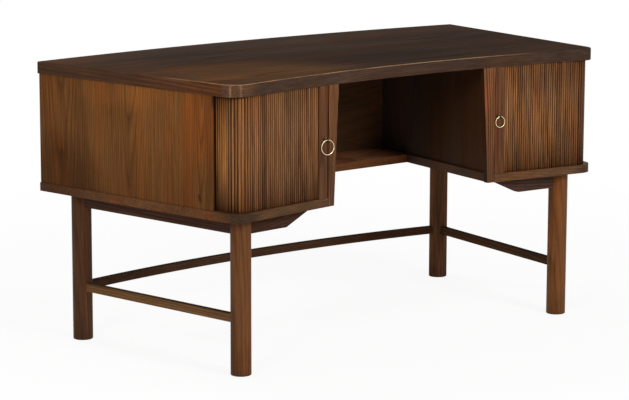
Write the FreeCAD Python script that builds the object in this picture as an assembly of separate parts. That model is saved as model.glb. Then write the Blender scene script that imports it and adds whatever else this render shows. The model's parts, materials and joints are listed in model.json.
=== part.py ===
import FreeCAD, Part
import math
import os

V = FreeCAD.Vector
Z = V(0, 0, 1)
FLOOR = V(0, 0, 0)

# A fan-shaped writing desk on four round legs. Two cupboards with sliding tambour
# doors stand either side of the kneehole, and an open bookcase faces backwards.
# Millimetres, +Z up, +X to the sitter's right, -Y towards the sitter.
# The right-hand half is worked out, and the left-hand half is its mirror image.

# Top: two arcs and two straight, splayed ends
height = 762.0
top_thickness = 32.0
back_width = 1500.0
front_width = 1289.0
chord_depth = 729.0
front_bow = 70.0
back_bow = 51.0
top_corner_radius = 50.0
top_lipping = 5.5
top_arris = 1.5

# Cupboards
cupboard_height = 296.0
board_thickness = 23.0
board_end_inset = 2.0
board_back_inset = 0.5
board_projection = 5.0
board_corner_radius = 46.0
board_lipping = 3.5
end_panel_inset = 5.0
end_panel_thickness = 14.0
panel_back_inset = 1.0
slot_from_corner = 82.0
liner_gap = 3.0
liner_thickness = 6.0
cupboard_back_recess = 4.0
cupboard_back_thickness = 9.0

# Kneehole, stiles and bookcase
stile_inner_half = 260.0
stile_top_width = 40.0
stile_bottom_width = 23.0
stile_thickness = 17.0
stile_proud = 0.5
kneehole_panel_half = 290.0
kneehole_panel_thickness = 16.0
kneehole_board_lip = 8.0
ledge_front = 97.0
modesty_thickness = 12.0
bookcase_depth = 150.0
bookcase_shelf_back = 10.0

# Tambour
tambour_setback = 7.0
tambour_clearance = 1.0
tambour_radius = 40.0
slat_pitch = 15.0
slat_gap = 0.4
slat_thickness = 6.0
slat_round = 1.6
reed_groove = 1.3
slat_tail = 7
tongue_thickness = 3.0
tongue_front = 1.5
tongue_length = 6.0
tongue_width = 8.0
groove_clearance = 0.5
groove_depth = 7.0
groove_spare = 40.0
slat_end_gap = 0.5
canvas_gap = 0.3
canvas_thickness = 0.8
canvas_margin = 8.0
rail_width = 32.0
rail_proud = 4.0
rail_thickness = 10.0
rail_gap = 1.5
rail_travel = 228.0

# Ring pulls
left_ring_radius = 19.2
right_ring_radius = 14.6
left_ring_rise = 155.0
right_ring_rise = 160.0
left_ring_turn = 14.0
right_ring_turn = 0.0
ring_from_edge = 10.0
ring_wire = 2.4
eye_wire = 2.6
eye_clearance = 0.5
ring_stand_off = 9.5
rose_radius = 7.0
rose_thickness = 1.5
staple_pin_radius = 1.6
staple_pin_length = 7.0

# Shelves and their pins
shelf_thickness = 16.0
shelf_height = 140.0
shelf_clearance = 1.0
shelf_front_inset = 30.0
pin_diameter = 5.0
pin_in = 5.0
pin_out = 9.0
pin_from_end = 70.0
bookcase_pin_shares = 0.3, 0.75

# Base
leg_diameter = 54.0
leg_chamfer = 1.5
front_leg_setback = 77.0
front_leg_end_inset = 84.0
back_leg_setback = 60.0
back_leg_end_inset = 85.0
apron_height = 44.0
apron_thickness = 20.0
apron_run = 153.0
apron_chamfer_run = 99.0
apron_turn = 5.0
stretcher_underside = 135.0
stretcher_height = 22.0
stretcher_thickness = 18.0
back_rail_bow = 61.0
tenon_depth = 16.0

# Screws and blocks
screw_diameter = 5.0
screw_head = 10.0
screw_head_height = 3.0
screw_bite = 26.0
side_screw_shares = 0.3, 0.7
front_screw_share = 0.6
back_screw_share = 0.75
blocks_per_side = 2
block_side = 24.0
block_length = 60.0
block_screw_bite = 18.0

top_underside = height - top_thickness
board_top = top_underside - cupboard_height
board_underside = board_top - board_thickness
apron_underside = board_underside - apron_height


# Plan geometry of the right-hand half

def turned(direction):
    """The direction turned a quarter turn to the left."""
    return V(-direction.y, direction.x, 0)


def mirrored(point):
    return V(-point.x, point.y, point.z)


def meet(point, direction, other, other_direction):
    """Where two plan lines cross."""
    cross = direction.x * other_direction.y - direction.y * other_direction.x
    gap = other - point
    along = (gap.x * other_direction.y - gap.y * other_direction.x) / cross
    return point + direction * along


class Bow:
    """A shallow plan arc over a chord, bulging towards +Y by its bow."""

    def __init__(self, width, chord_y, bow):
        self.radius = (width * width / 4 + bow * bow) / (2 * bow)
        self.centre = V(0, chord_y + bow - self.radius, 0)

    def on_line(self, point, direction, shift=0.0):
        """Where a plan line running backwards meets the arc, moved to +Y by shift."""
        gap = point - self.centre
        half = gap.dot(direction)
        rest = gap.dot(gap) - (self.radius + shift) ** 2
        return point + direction * (math.sqrt(half * half - rest) - half)

    def at_x(self, x, shift=0.0):
        return self.on_line(V(x, self.centre.y, 0), V(0, 1, 0), shift)

    def edge(self, start, end, shift=0.0):
        """The arc between two points that lie on it."""
        middle = self.at_x((start.x + end.x) / 2, shift)
        return Part.Arc(start, middle, end).toShape()


front_bend = Bow(front_width, -chord_depth / 2, front_bow)
back_bend = Bow(back_width, chord_depth / 2, back_bow)
front_corner = V(front_width / 2, -chord_depth / 2, 0)
back_corner = V(back_width / 2, chord_depth / 2, 0)
end_way = (back_corner - front_corner).normalize()
end_in = turned(end_way)

# The tambour's face: a straight front run, a rounded corner, then along the end
tambour_end_inset = end_panel_inset + end_panel_thickness + tambour_clearance
tambour_corner = front_bend.on_line(
    front_corner + end_in * tambour_end_inset, end_way, tambour_setback)
stile_edge = front_bend.at_x(stile_inner_half, tambour_setback)
face_way = (tambour_corner - stile_edge).normalize()
face_in = turned(face_way)
run_start = stile_edge + face_way * stile_top_width
corner_angle = math.acos(-face_way.dot(end_way))
corner_turn = math.pi - corner_angle
corner_tangent = tambour_radius / math.tan(corner_angle / 2)
front_run = (tambour_corner - run_start).Length - corner_tangent
corner_centre = run_start + face_way * front_run + face_in * tambour_radius
canvas_offset = slat_thickness + canvas_gap
slats_begin = rail_gap + rail_width + slat_gap
front_slats = int((front_run - slats_begin) / slat_pitch)
front_slats_end = slats_begin + front_slats * slat_pitch
corner_canvas_run = corner_turn * (tambour_radius - canvas_offset)
turned_slats = int((front_run + corner_canvas_run - front_slats_end) / slat_pitch) + 1
canvas_run = front_slats_end + (turned_slats + slat_tail) * slat_pitch
kneehole_start = meet(stile_edge, face_way, V(kneehole_panel_half, 0, 0), V(0, 1, 0))


def on_face(run, inward=0.0, z=0.0):
    """A point on the straight front run, so far inwards from the slats' face."""
    return run_start + face_way * run + face_in * inward + Z * z


def on_end(inset, distance=0.0):
    """A point on a line parallel to the top's end, from the tambour's corner line."""
    return tambour_corner + end_way * distance + end_in * (inset - tambour_end_inset)


def tambour_frame(run):
    """Place and heading on the tambour's face, for a run measured along its canvas."""
    if run <= front_run:
        return on_face(run), face_way
    turn = (run - front_run) / (tambour_radius - canvas_offset)
    if turn <= corner_turn:
        spin = FreeCAD.Rotation(Z, math.degrees(turn))
        return corner_centre - spin.multVec(face_in) * tambour_radius, spin.multVec(face_way)
    beyond = run - front_run - corner_canvas_run
    return on_end(tambour_end_inset, corner_tangent + beyond), end_way


def tambour_edges(inward, start, end):
    """The face path moved inwards, between two runs measured along the canvas."""
    edges = []
    places = [tambour_frame(run) for run in (start, end)]
    first, last = [place + turned(way) * inward for place, way in places]
    corner_out = front_run + corner_canvas_run
    leave, leave_way = tambour_frame(front_run)
    back_on, back_way = tambour_frame(corner_out)
    leave = leave + turned(leave_way) * inward
    back_on = back_on + turned(back_way) * inward
    if start < front_run:
        edges.append(Part.LineSegment(first, leave if end > front_run else last).toShape())
    if end > front_run:
        arc_start = leave if start < front_run else first
        arc_end = back_on if end > corner_out else last
        from_turn = max(start, front_run)
        to_turn = min(end, corner_out)
        middle, middle_way = tambour_frame((from_turn + to_turn) / 2)
        middle = middle + turned(middle_way) * inward
        edges.append(Part.Arc(arc_start, middle, arc_end).toShape())
    if end > corner_out:
        edges.append(Part.LineSegment(back_on, last).toShape())
    return edges, first, last


# Solids

def prism(edges, low, high):
    """A flat plan shape raised from one height to another."""
    face = Part.Face(Part.Wire(Part.__sortEdges__(edges)))
    face.translate(Z * low)
    return face.extrude(Z * (high - low))


def line(start, end):
    return Part.LineSegment(start, end).toShape()


def polygon(points, low, high):
    return prism([line(a, b) for a, b in zip(points, points[1:] + points[:1])], low, high)


def tambour_band(inner, outer, start, end, low, high):
    """A strip that follows the tambour's path, such as a groove or the canvas."""
    near, near_first, near_last = tambour_edges(inner, start, end)
    far, far_first, far_last = tambour_edges(outer, start, end)
    edges = near + far + [line(near_first, far_first), line(near_last, far_last)]
    return prism(edges, low, high)


def upright_edges(solid, place):
    """The vertical edges of a solid whose foot passes the test."""
    found = []
    for edge in solid.Edges:
        ends = [vertex.Point for vertex in edge.Vertexes]
        if len(ends) == 2 and (ends[0] - ends[1]).cross(Z).Length < 0.001 and place(ends[0]):
            found.append(edge)
    return found


def bowed_plate(bend, low_shift, high_shift, side, low, high):
    """A curved strip across the whole desk, ending on a line and its mirror image."""
    start, way = side
    inner = bend.on_line(start, way, low_shift)
    outer = bend.on_line(start, way, high_shift)
    edges = [bend.edge(mirrored(inner), inner, low_shift), line(inner, outer)]
    edges += [bend.edge(outer, mirrored(outer), high_shift), line(mirrored(outer), mirrored(inner))]
    return prism(edges, low, high)


def top_slab(inset, radius, low, high):
    """The top's outline, drawn in all round by an inset, with rounded front corners."""
    side = front_corner + end_in * inset
    front = front_bend.on_line(side, end_way, inset)
    back = back_bend.on_line(side, end_way, -inset)
    edges = [front_bend.edge(mirrored(front), front, inset), line(front, back)]
    edges += [back_bend.edge(back, mirrored(back), -inset), line(mirrored(back), mirrored(front))]
    slab = prism(edges, low, high)
    return slab.makeFillet(radius, upright_edges(slab, lambda p: p.y < 0))


def board_shape(end_inset, projection, radius, low, high):
    """A cupboard's floor board: straight front, rounded outer corner, curved back."""
    outer_start = front_corner + end_in * end_inset
    front_outer = meet(outer_start, end_way, on_face(0, -projection), face_way)
    knee = kneehole_start + end_in * kneehole_board_lip
    front_inner = meet(knee, end_way, on_face(0, -projection), face_way)
    back_inner = back_bend.on_line(knee, end_way, -board_back_inset)
    back_outer = back_bend.on_line(outer_start, end_way, -board_back_inset)
    edges = [line(front_inner, front_outer), line(front_outer, back_outer)]
    edges += [back_bend.edge(back_outer, back_inner, -board_back_inset)]
    edges += [line(back_inner, front_inner)]
    board = prism(edges, low, high)
    is_corner = lambda p: (p - front_outer).cross(Z).Length < 0.01
    return board.makeFillet(radius, upright_edges(board, is_corner))


def stile():
    """The tapered post beside the kneehole: its inner edge leans outwards to the foot."""
    front = -board_projection - stile_proud
    taper = stile_top_width - stile_bottom_width
    corners = [(0, top_underside), (-stile_top_width, top_underside)]
    corners += [(taper - stile_top_width, board_underside), (0, board_underside)]
    points = [on_face(run, front, z) for run, z in corners]
    face = Part.Face(Part.makePolygon(points + points[:1]))
    return face.extrude(face_in * stile_thickness)


def end_panel():
    near, far = end_panel_inset, end_panel_inset + end_panel_thickness
    corners = [on_end(near, slot_from_corner), on_end(far, slot_from_corner)]
    ends = [back_bend.on_line(on_end(inset), end_way, -panel_back_inset) for inset in (far, near)]
    return polygon(corners + ends, board_top, top_underside)


def kneehole_panel():
    behind_stile = on_face(0, stile_thickness - board_projection - stile_proud)
    sides = [kneehole_start, kneehole_start - end_in * kneehole_panel_thickness]
    fronts = [meet(side, end_way, behind_stile, face_way) for side in sides]
    backs = [back_bend.on_line(side, end_way, -panel_back_inset) for side in reversed(sides)]
    return polygon(fronts + backs, board_top, top_underside)


def pocket_liner():
    near = tambour_end_inset + canvas_offset + canvas_thickness + liner_gap
    far = near + liner_thickness
    reach = -panel_back_inset - cupboard_back_recess - cupboard_back_thickness
    corners = [on_end(near, slot_from_corner), on_end(far, slot_from_corner)]
    ends = [back_bend.on_line(on_end(inset), end_way, reach) for inset in (far, near)]
    return polygon(corners + ends, board_top, top_underside), far


def cupboard_back():
    """The curved back board, between the end panel and the kneehole panel."""
    outside = on_end(end_panel_inset + end_panel_thickness)
    inside = kneehole_start - end_in * kneehole_panel_thickness
    rear = -panel_back_inset - cupboard_back_recess
    front = rear - cupboard_back_thickness
    corners = [back_bend.on_line(inside, end_way, front), back_bend.on_line(outside, end_way, front)]
    corners += [back_bend.on_line(outside, end_way, rear), back_bend.on_line(inside, end_way, rear)]
    edges = [back_bend.edge(corners[0], corners[1], front), line(corners[1], corners[2])]
    edges += [back_bend.edge(corners[2], corners[3], rear), line(corners[3], corners[0])]
    return prism(edges, board_top, top_underside)


def shelf(liner_face):
    """A loose shelf on four pins, its edges clear of the walls around it."""
    outside = on_end(liner_face + shelf_clearance)
    inside = kneehole_start - end_in * (kneehole_panel_thickness + shelf_clearance)
    reach = -panel_back_inset - cupboard_back_recess - cupboard_back_thickness - shelf_clearance
    front_line = on_face(0, shelf_front_inset)
    points = [meet(side, end_way, front_line, face_way) for side in (inside, outside)]
    backs = [back_bend.on_line(side, end_way, reach) for side in (outside, inside)]
    edges = [line(points[0], points[1]), line(points[1], backs[0]), line(backs[1], points[0])]
    edges += [back_bend.edge(backs[0], backs[1], reach)]
    low = board_top + shelf_height
    return prism(edges, low, low + shelf_thickness), points, backs


def shelf_pin(place, outward):
    """A pin set into a panel, whose free end carries a shelf."""
    pin_radius = pin_diameter / 2
    foot = V(place.x, place.y, board_top + shelf_height - pin_radius) - outward * pin_in
    return Part.makeCylinder(pin_radius, pin_in + pin_out, foot, outward)


def slat(place, heading):
    """One tambour slat: a face of two reeds, and a thin tongue at each end."""
    half = (slat_pitch - slat_gap) / 2
    valley = V(0, reed_groove, 0)
    edges = [
        Part.Arc(V(-half, slat_round, 0), V(-half / 2, 0, 0), valley).toShape(),
        Part.Arc(valley, V(half / 2, 0, 0), V(half, slat_round, 0)).toShape()]
    back = [V(half, slat_round, 0), V(half, slat_thickness, 0)]
    back += [V(-half, slat_thickness, 0), V(-half, slat_round, 0)]
    edges += [line(a, b) for a, b in zip(back, back[1:])]
    strip = prism(edges, board_top + slat_end_gap, top_underside - slat_end_gap)
    foot = V(-tongue_width / 2, tongue_front, board_top - tongue_length)
    length = cupboard_height + 2 * tongue_length
    tongue = Part.makeBox(tongue_width, tongue_thickness, length, foot)
    strip = strip.fuse(tongue).removeSplitter()
    spin = FreeCAD.Rotation(V(1, 0, 0), heading)
    strip.Placement = FreeCAD.Placement(place, spin)
    return strip


def slats(first, count):
    """A run of slats at equal spacing along the canvas."""
    centres = [slats_begin + (first + number + 0.5) * slat_pitch for number in range(count)]
    return Part.makeCompound([slat(*tambour_frame(run)).Solids[0] for run in centres])


def canvas(start, end):
    low = board_top + canvas_margin
    high = top_underside - canvas_margin
    inner = canvas_offset
    return tambour_band(inner, inner + canvas_thickness, start, end, low, high)


def groove(low):
    """The track that the slats' tongues run in, cut into a board."""
    inner = tongue_front - groove_clearance
    outer = tongue_front + tongue_thickness + groove_clearance
    end = canvas_run + rail_travel + groove_spare
    return tambour_band(inner, outer, 0, end, low, low + groove_depth)


def lead_rail(pivot):
    """The first, wide slat of the tambour, which carries the ring pull."""
    faces = [-rail_proud, rail_thickness - rail_proud]
    runs = [rail_gap, rail_gap + rail_width]
    body = polygon(
        [on_face(runs[0], faces[0]), on_face(runs[1], faces[0]),
         on_face(runs[1], faces[1]), on_face(runs[0], faces[1])],
        board_top + slat_end_gap, top_underside - slat_end_gap)
    edges = [tongue_front, tongue_front + tongue_thickness]
    tongue = polygon(
        [on_face(runs[0], edges[0]), on_face(runs[1], edges[0]),
         on_face(runs[1], edges[1]), on_face(runs[0], edges[1])],
        board_top - tongue_length, top_underside + tongue_length)
    return body.fuse(tongue).removeSplitter().cut(staple_pin(pivot))


def ring_pivot(rise):
    """Where a ring hangs, so far above the cupboard's floor."""
    return on_face(rail_gap + ring_from_edge, -rail_proud - ring_stand_off, board_top + rise)


def staple_pin(pivot):
    start = pivot + face_in * (ring_stand_off + staple_pin_length)
    return Part.makeCylinder(staple_pin_radius, staple_pin_length, start, -face_in)


def ring_staple(pivot):
    """A rose, the eye that stands on it, and the pin that holds both in the rail."""
    rose_foot = pivot + face_in * ring_stand_off
    rose = Part.makeCylinder(rose_radius, rose_thickness, rose_foot, -face_in)
    eye_radius = (ring_wire + eye_wire) / 2 + eye_clearance
    eye = Part.makeTorus(eye_radius, eye_wire / 2, pivot, face_way)
    neck_length = ring_stand_off - eye_radius
    neck = Part.makeCylinder(eye_wire / 2, neck_length, rose_foot, -face_in)
    return rose.fuse([eye, neck, staple_pin(pivot)]).removeSplitter()


def ring_way(turn):
    """The heading of a ring's top, turned a little away from the face."""
    return FreeCAD.Rotation(Z, turn).multVec(face_way)


def ring_pull(pivot, radius, turn):
    """The ring, hanging in its eye with its middle straight below the pivot."""
    return Part.makeTorus(radius, ring_wire / 2, pivot - Z * radius, turned(ring_way(turn)))


def leg(place):
    body = Part.makeCylinder(leg_diameter / 2, board_underside, place, Z)
    foot_rim = [edge for edge in body.Edges if edge.BoundBox.ZMax < 0.001]
    return body.makeChamfer(leg_chamfer, foot_rim)


front_leg_line = front_corner + end_in * front_leg_end_inset
back_leg_line = front_corner + end_in * back_leg_end_inset
front_leg_place = meet(
    front_leg_line, end_way, V(0, front_leg_setback - chord_depth / 2, 0), V(1, 0, 0))
back_leg_place = meet(
    back_leg_line, end_way, V(0, chord_depth / 2 - back_leg_setback, 0), V(1, 0, 0))
side_way = (back_leg_place - front_leg_place).normalize()
leg_bury = leg_diameter / 2 - tenon_depth
apron_way = V(-math.cos(math.radians(apron_turn)), math.sin(math.radians(apron_turn)), 0)


def side_bar(thickness, low, high):
    """A straight bar between the front and back legs, its ends let into both."""
    half = turned(side_way) * (thickness / 2)
    front = front_leg_place + side_way * leg_bury
    back = back_leg_place - side_way * leg_bury
    return polygon([front - half, back - half, back + half, front + half], low, high)


def back_bar(thickness, low, high):
    """A curved bar between the back legs, its ends let into both."""
    bend = Bow(2 * back_leg_place.x, back_leg_place.y, back_rail_bow)
    side = V(back_leg_place.x - leg_bury, 0, 0), V(0, 1, 0)
    return bowed_plate(bend, -thickness / 2, thickness / 2, side, low, high)


def front_apron():
    """A short rail from the front leg inwards, its free end cut away below."""
    outline = [(leg_bury, apron_underside), (apron_run, apron_underside)]
    outline += [(apron_run + apron_chamfer_run, board_underside), (leg_bury, board_underside)]
    side = turned(apron_way) * (apron_thickness / 2)
    points = [front_leg_place - side + apron_way * run + Z * z for run, z in outline]
    face = Part.Face(Part.makePolygon(points + points[:1]))
    return face.extrude(side * 2)


def screw(place, head_z, tip_z):
    """A countersunk screw standing upright between its head and its tip."""
    up = 1 if head_z > tip_z else -1
    head_foot = V(place.x, place.y, head_z - up * screw_head_height)
    head = Part.makeCone(
        screw_diameter / 2, screw_head / 2, screw_head_height, head_foot, Z * up)
    low = V(place.x, place.y, min(tip_z, head_foot.z))
    shank = Part.makeCylinder(screw_diameter / 2, abs(head_foot.z - tip_z), low, Z)
    return shank.fuse(head).removeSplitter()


def base_screw_places():
    """Screw places over the side, front and back aprons of the right-hand half."""
    side_length = (back_leg_place - front_leg_place).Length
    places = [front_leg_place + side_way * side_length * share for share in side_screw_shares]
    places.append(front_leg_place + apron_way * (apron_run * front_screw_share))
    bend = Bow(2 * back_leg_place.x, back_leg_place.y, back_rail_bow)
    places.append(bend.at_x(back_leg_place.x * back_screw_share))
    return places


def top_block(distance):
    """A glue block in the corner between the kneehole panel and the top."""
    wall = kneehole_start - end_in * kneehole_panel_thickness + end_way * distance
    across = end_in * -block_side
    along = end_way * block_length
    block = polygon([wall, wall + across, wall + across + along, wall + along],
                    top_underside - block_side, top_underside)
    return block, wall + across / 2 + along / 2


# Assembly

def build():
    """All nodes by name. Pairs are built once for the right and mirrored."""
    whole_top = top_slab(0, top_corner_radius, top_underside, height)
    rims = [edge for edge in whole_top.Edges if edge.BoundBox.ZMin > height - 0.001]
    whole_top = whole_top.makeChamfer(top_arris, rims)
    core_top = top_slab(top_lipping, top_corner_radius - top_lipping, top_underside, height)
    rim = whole_top.cut(core_top)
    core_top = core_top.cut(both(groove(top_underside)))
    disc = Part.makeCylinder(
        back_bend.radius - top_lipping, top_thickness, back_bend.centre + Z * top_underside)
    back_lipping = rim.cut(disc)
    around = rim.common(disc).cut(both(groove(top_underside)))
    split_low = V(front_corner.x - top_corner_radius, front_corner.y + top_corner_radius, 0)
    end_slice = Part.makeBox(back_width, chord_depth, height, split_low)
    right_end = around.common(end_slice)
    front_lipping = around.cut(both(end_slice))

    board = board_shape(board_end_inset, board_projection, board_corner_radius,
                        board_underside, board_top)
    board_core = board_shape(
        board_end_inset + board_lipping, board_projection - board_lipping,
        board_corner_radius - board_lipping, board_underside, board_top)
    post = stile()
    board_edge = board.cut(board_core).cut(post)
    board_core = board_core.cut(post).cut(groove(board_top - groove_depth))

    bridge_low = kneehole_start + end_in * kneehole_board_lip
    bridge_front = V(0, ledge_front, 0)
    bridge_side = meet(bridge_low, end_way, bridge_front, V(1, 0, 0))
    bridge_back = back_bend.on_line(bridge_low, end_way, -board_back_inset)
    bridge = prism(
        [line(mirrored(bridge_side), bridge_side), line(bridge_side, bridge_back),
         back_bend.edge(bridge_back, mirrored(bridge_back), -board_back_inset),
         line(mirrored(bridge_back), mirrored(bridge_side))],
        board_underside, board_top)

    knee_panel = kneehole_panel()
    liner, liner_face = pocket_liner()
    cupboard_shelf, shelf_fronts, shelf_backs = shelf(liner_face)

    modesty_back = -board_back_inset - bookcase_depth
    modesty = bowed_plate(
        back_bend, modesty_back - modesty_thickness, modesty_back,
        (kneehole_start, end_way), board_top, top_underside)
    shelf_side = kneehole_start + end_in * shelf_clearance
    book_shelf = bowed_plate(
        back_bend, modesty_back + shelf_clearance, -board_back_inset - bookcase_shelf_back,
        (shelf_side, end_way), board_top + shelf_height,
        board_top + shelf_height + shelf_thickness)

    pins = cupboard_pins(shelf_fronts, shelf_backs)
    pins += bookcase_pins()
    right_pins = Part.makeCompound(pins)
    knee_panel = knee_panel.cut(right_pins)
    liner = liner.cut(right_pins)

    side_apron = side_bar(apron_thickness, apron_underside, board_underside)
    side_stretcher = side_bar(
        stretcher_thickness, stretcher_underside, stretcher_underside + stretcher_height)
    back_apron = back_bar(apron_thickness, apron_underside, board_underside)
    back_stretcher = back_bar(
        stretcher_thickness, stretcher_underside, stretcher_underside + stretcher_height)
    corner_apron = front_apron()
    front_leg = leg(front_leg_place).cut(Part.makeCompound(
        [side_apron, side_stretcher, corner_apron]))
    back_leg = leg(back_leg_place).cut(Part.makeCompound(
        [side_apron, side_stretcher, back_apron, back_stretcher]))

    screws = Part.makeCompound([
        screw(place, board_top, board_underside - screw_bite) for place in base_screw_places()])
    all_screws = both(screws)
    board_core = board_core.cut(screws)
    side_apron = side_apron.cut(screws)
    corner_apron = corner_apron.cut(screws)
    back_apron = back_apron.cut(all_screws)

    spread = (chord_depth - 2 * shelf_front_inset - block_length) / (blocks_per_side + 1)
    blocks = [top_block(spread * (number + 1)) for number in range(blocks_per_side)]
    block_screws = Part.makeCompound([
        screw(place, top_underside - block_side, top_underside + block_screw_bite)
        for _, place in blocks])
    top_blocks = Part.makeCompound([block for block, _ in blocks]).cut(block_screws)
    core_top = core_top.cut(both(block_screws))

    single = {
        "top_panel": core_top,
        "top_front_lipping": front_lipping,
        "top_back_lipping": back_lipping,
        "bridge_board": bridge,
        "modesty_panel": modesty,
        "bookcase_shelf": book_shelf,
        "back_apron": back_apron,
        "back_stretcher": back_stretcher,
        "base_screws": all_screws,
        "top_blocks": both(top_blocks),
        "top_block_screws": both(block_screws),
        "shelf_pins": both(right_pins),
    }
    paired = {
        "top_end_lipping": right_end,
        "bottom_board": board_core,
        "bottom_board_lipping": board_edge,
        "end_panel": end_panel(),
        "kneehole_panel": knee_panel,
        "stile": post,
        "cupboard_back": cupboard_back(),
        "pocket_liner": liner,
        "cupboard_shelf": cupboard_shelf,
        "tambour_front_slats": slats(0, front_slats),
        "tambour_corner_slats": slats(front_slats, turned_slats),
        "tambour_pocket_slats": slats(front_slats + turned_slats, slat_tail),
        "tambour_front_canvas": canvas(slats_begin, front_slats_end),
        "tambour_side_canvas": canvas(front_slats_end, canvas_run),
        "front_leg": front_leg,
        "back_leg": back_leg,
        "side_apron": side_apron,
        "front_apron": corner_apron,
        "side_stretcher": side_stretcher,
    }
    right = {**paired, **pull_pieces(right_ring_rise, right_ring_radius, right_ring_turn)}
    left = {**paired, **pull_pieces(left_ring_rise, left_ring_radius, left_ring_turn)}
    nodes = dict(single)
    for name, shape in right.items():
        nodes["right_" + name] = shape
        nodes["left_" + name] = left[name].mirror(FLOOR, V(1, 0, 0))
    return nodes


def pull_pieces(rise, radius, turn):
    """A tambour's lead rail with its ring pull, as they are on the right."""
    pivot = ring_pivot(rise)
    return {
        "lead_rail": lead_rail(pivot),
        "ring_staple": ring_staple(pivot),
        "ring_pull": ring_pull(pivot, radius, turn),
    }


def both(shape):
    """A right-hand shape together with its mirror image."""
    return Part.makeCompound([shape, shape.mirror(FLOOR, V(1, 0, 0))])


def cupboard_pins(fronts, backs):
    """Four pins under a cupboard shelf, two in each side wall."""
    walls = [(fronts[0] + end_in * shelf_clearance, backs[1], -end_in)]
    walls.append((fronts[1] - end_in * shelf_clearance, backs[0], end_in))
    pins = []
    for front, back, outward in walls:
        depth = (back - front).dot(end_way)
        for distance in (pin_from_end, depth - pin_from_end):
            pins.append(shelf_pin(front + end_way * distance, outward))
    return pins


def bookcase_pins():
    """Two pins under this end of the bookcase shelf."""
    rear = back_bend.on_line(kneehole_start, end_way, -board_back_inset)
    spots = [rear - end_way * (bookcase_depth * share) for share in bookcase_pin_shares]
    return [shelf_pin(spot, end_in) for spot in spots]


def middle_of_top():
    """How far the desk moves along Y so that its box is centred on the origin."""
    box = top_slab(0, top_corner_radius, top_underside, height).BoundBox
    return V(0, -(box.YMin + box.YMax) / 2, 0)


def main():
    os.makedirs("parts", exist_ok=True)
    to_origin = middle_of_top()
    for name, shape in build().items():
        moved = shape.copy()
        moved.translate(to_origin)
        moved.exportStep("parts/" + name + ".step")


if __name__ == "__main__":
    main()
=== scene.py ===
"""A fan-shaped tambour desk: wood finishes, reeded tambours, turned legs and brass ring pulls."""

import json
import math

import bpy
import numpy as np
from mathutils import Euler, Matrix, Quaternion, Vector


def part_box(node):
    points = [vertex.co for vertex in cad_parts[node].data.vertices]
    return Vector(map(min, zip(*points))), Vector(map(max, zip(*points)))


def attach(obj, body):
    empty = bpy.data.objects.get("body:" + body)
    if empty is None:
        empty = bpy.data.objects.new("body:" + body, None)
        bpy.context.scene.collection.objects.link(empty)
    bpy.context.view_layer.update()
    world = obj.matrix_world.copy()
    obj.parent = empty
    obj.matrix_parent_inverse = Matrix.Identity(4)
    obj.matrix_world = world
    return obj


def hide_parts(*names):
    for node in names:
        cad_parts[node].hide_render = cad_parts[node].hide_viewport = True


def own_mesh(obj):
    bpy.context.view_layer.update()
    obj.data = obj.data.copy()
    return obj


bl_info = {
    "name": "Tambour desk",
    "version": (1, 0, 0),
    "blender": (4, 5, 0),
    "location": "View3D > Sidebar > Desk",
    "description": "Finishes and details of a fan-shaped desk with two tambour cupboards",
    "category": "Object",
}

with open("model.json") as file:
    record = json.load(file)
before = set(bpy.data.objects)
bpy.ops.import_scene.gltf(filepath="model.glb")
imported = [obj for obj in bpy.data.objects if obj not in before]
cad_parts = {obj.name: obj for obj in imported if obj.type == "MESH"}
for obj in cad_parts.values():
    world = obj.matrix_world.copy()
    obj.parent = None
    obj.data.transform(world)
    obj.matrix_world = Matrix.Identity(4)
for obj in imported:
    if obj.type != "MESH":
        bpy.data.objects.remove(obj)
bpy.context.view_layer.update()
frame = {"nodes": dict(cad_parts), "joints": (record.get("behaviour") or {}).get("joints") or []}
nodes = frame["nodes"]
joints = {joint["name"]: joint for joint in frame["joints"]}
SIDES = {"right": 1.0, "left": -1.0}
X, Y, Z = range(3)
ALONG = (1, 0, 0)
UPRIGHT = (0, 0, 1)

# Plan of the right-hand tambour, in metres and radians, in the row frame. A run is measured
# along the tambour from its start beside the kneehole. The ring pull hangs in front of the face.
FACE_WAY = np.array(joints["right_tambour_slide"]["axis"][:2])
FACE_IN = np.array([-FACE_WAY[1], FACE_WAY[0]])
PULL_PLACE = np.array(joints["right_ring_swing"]["pos_m"][:2])
PULL_RUN = 0.0115
PULL_STAND_OFF = 0.0135
RUN_START = PULL_PLACE - FACE_WAY * PULL_RUN + FACE_IN * PULL_STAND_OFF
FRONT_RUN = 0.28978310
SLATS_BEGIN = 0.0339
CORNER_RADIUS = 0.040
CORNER_TURN = 1.57510
CANVAS_OFFSET = 0.0063
FRONT_SLATS = 17
CORNER_SLATS = 4
POCKET_SLATS = 7
CORNER_WIDENING = 1.15
BOARD_TOP, TOP_UNDERSIDE = (round(corner.z, 4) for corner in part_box("right_end_panel"))

# Random draws for the slats: each side's first seed, the share of slats with all the dark of
# dirt and painted shade in their joints and grooves, the least of it on the others and its
# range, and how far apart their grain can be, in metres
SLAT_SEEDS = {"right": 7, "left": 11}
FILTHY_SHARE = 0.35
LEAST_GRIME = 0.62
GRIME_RANGE = 0.33
GRAIN_APART = 3

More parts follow.
